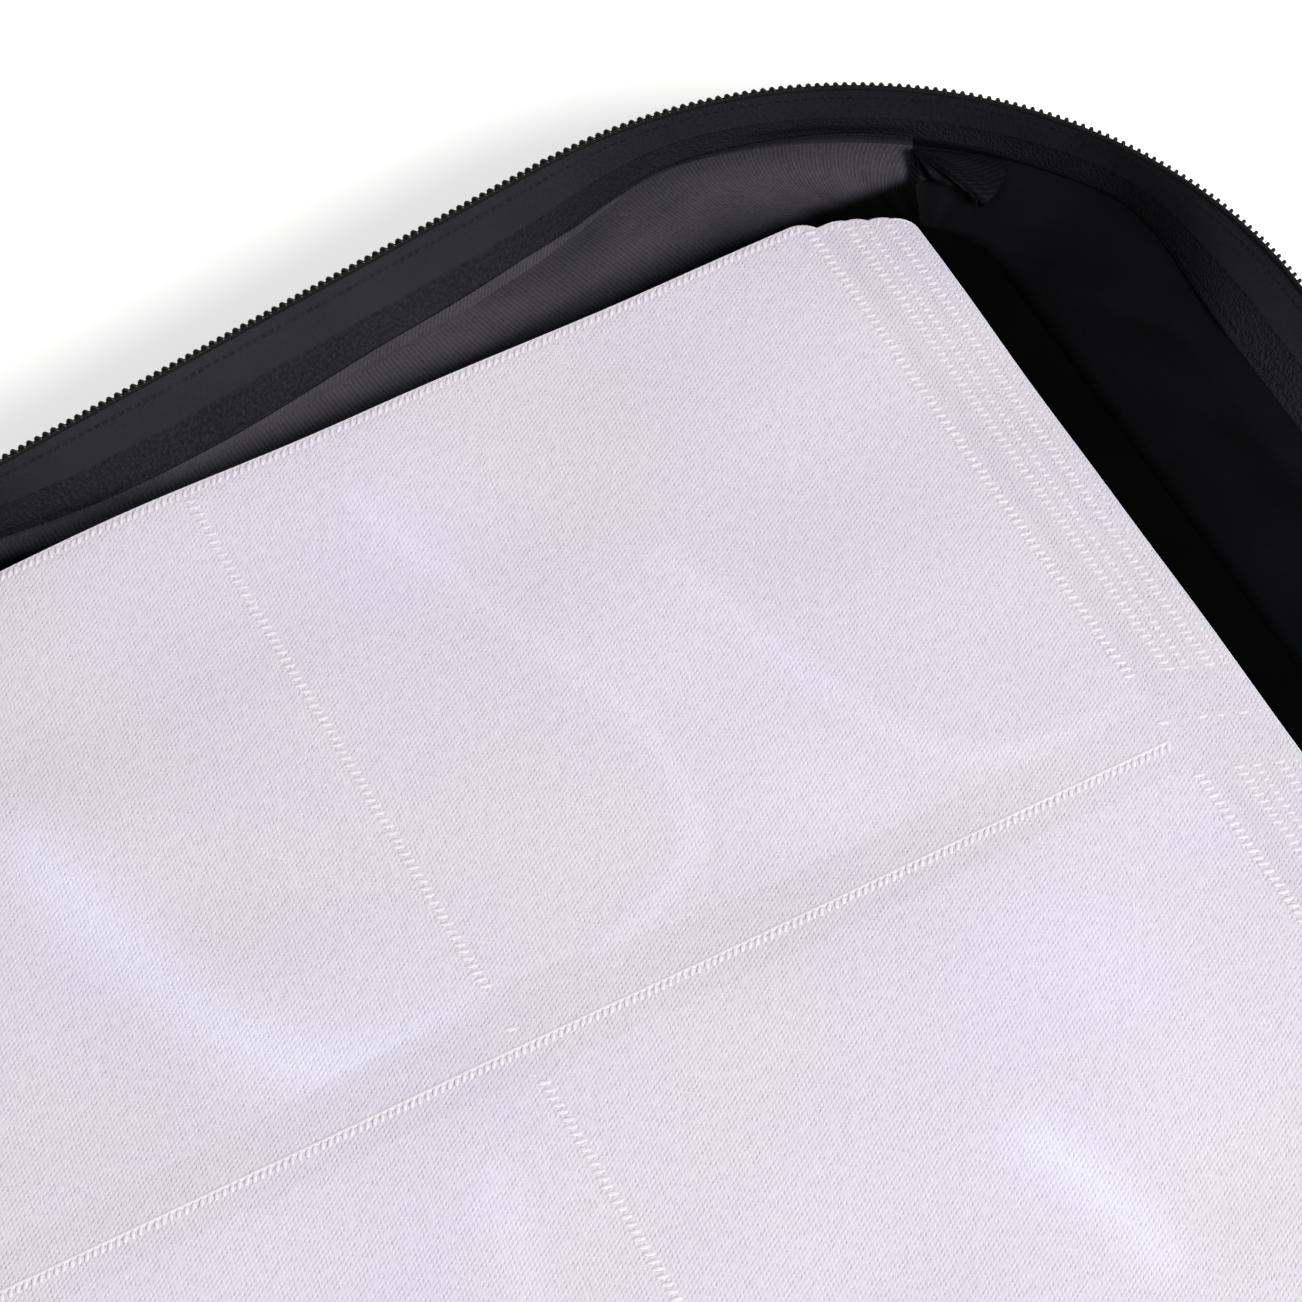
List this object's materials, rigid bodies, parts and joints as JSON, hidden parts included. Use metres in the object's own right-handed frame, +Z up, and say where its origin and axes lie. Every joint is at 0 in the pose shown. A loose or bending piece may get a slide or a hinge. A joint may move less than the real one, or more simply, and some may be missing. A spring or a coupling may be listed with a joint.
{
  "type": "cd storage case",
  "caption": "Zipped fabric wallet for discs, lying open, with a stiff spine, flared walls and two banks of sleeves with four pockets a side.",
  "frame": {"origin": "middle of the spine, on the table that the open case lies on", "axes": "+X from the spine to the fore edge of the back half, +Y to the head of the pages, +Z up from the table"},
  "size_m": [0.7412, 0.3474, 0.0385],
  "materials": {
    "cover_cloth": "black coated polyester cloth",
    "cover_board": "stiff board",
    "base_lining": "black lining cloth",
    "wall_lining": "charcoal twill lining cloth",
    "zip_tape": "black woven zip tape",
    "zip_coil": "black nylon coil",
    "binding": "black woven strip",
    "sleeve": "embossed nonwoven, lavender white",
    "film": "clear embossed film",
    "weld": "dotted heat weld",
    "slider_metal": "black enamel"
  },
  "bodies": {
    "back_cover": {"back_cover_cloth": "cover_cloth", "back_board": "cover_board", "back_lining": "base_lining", "back_gusset_head": "cover_cloth", "back_gusset_fore": "cover_cloth", "back_gusset_tail": "cover_cloth", "back_wall_lining_head": "wall_lining", "back_wall_lining_fore": "wall_lining", "back_wall_lining_tail": "wall_lining", "back_zip_tape": "zip_tape", "back_zip_coil": "zip_coil", "back_binding": "binding", "back_sleeve_1": "sleeve", "back_sleeve_2": "sleeve", "back_sleeve_3": "sleeve", "back_sleeve_4": "sleeve", "back_sleeve_5": "sleeve", "back_film_upper": "film", "back_film_lower": "film", "back_sleeve_welds": "weld", "head_slider": "slider_metal", "tail_slider": "slider_metal"},
    "spine": {"spine_cloth": "cover_cloth", "spine_board": "cover_board", "spine_lining": "base_lining"},
    "front_cover": {"front_cover_cloth": "cover_cloth", "front_board": "cover_board", "front_lining": "base_lining", "front_gusset_head": "cover_cloth", "front_gusset_fore": "cover_cloth", "front_gusset_tail": "cover_cloth", "front_wall_lining_head": "wall_lining", "front_wall_lining_fore": "wall_lining", "front_wall_lining_tail": "wall_lining", "front_zip_tape": "zip_tape", "front_zip_coil": "zip_coil", "front_binding": "binding", "front_sleeve_1": "sleeve", "front_sleeve_2": "sleeve", "front_sleeve_3": "sleeve", "front_sleeve_4": "sleeve", "front_sleeve_5": "sleeve", "front_film_upper": "film", "front_film_lower": "film", "front_sleeve_welds": "weld"},
    "head_pull": {"head_pull": "slider_metal"},
    "tail_pull": {"tail_pull": "slider_metal"}
  },
  "joints": [
    {"name": "spine_hinge", "type": "hinge", "parent": "back_cover", "child": "spine", "pos_m": [0.0332, 0, 0.0008], "axis": [0, 1, 0], "range_deg": [0, 90]},
    {"name": "front_hinge", "type": "hinge", "parent": "spine", "child": "front_cover", "pos_m": [-0.0332, 0, 0.0008], "axis": [0, 1, 0], "range_deg": [0, 90]},
    {"name": "head_pull_swing", "type": "hinge", "parent": "back_cover", "child": "head_pull", "pos_m": [0.0452, 0.15433, 0.034], "axis": [0, 0, 1], "range_deg": [0, 170]},
    {"name": "tail_pull_swing", "type": "hinge", "parent": "back_cover", "child": "tail_pull", "pos_m": [0.0452, -0.15433, 0.034], "axis": [0, 0, -1], "range_deg": [0, 170]}
  ]
}
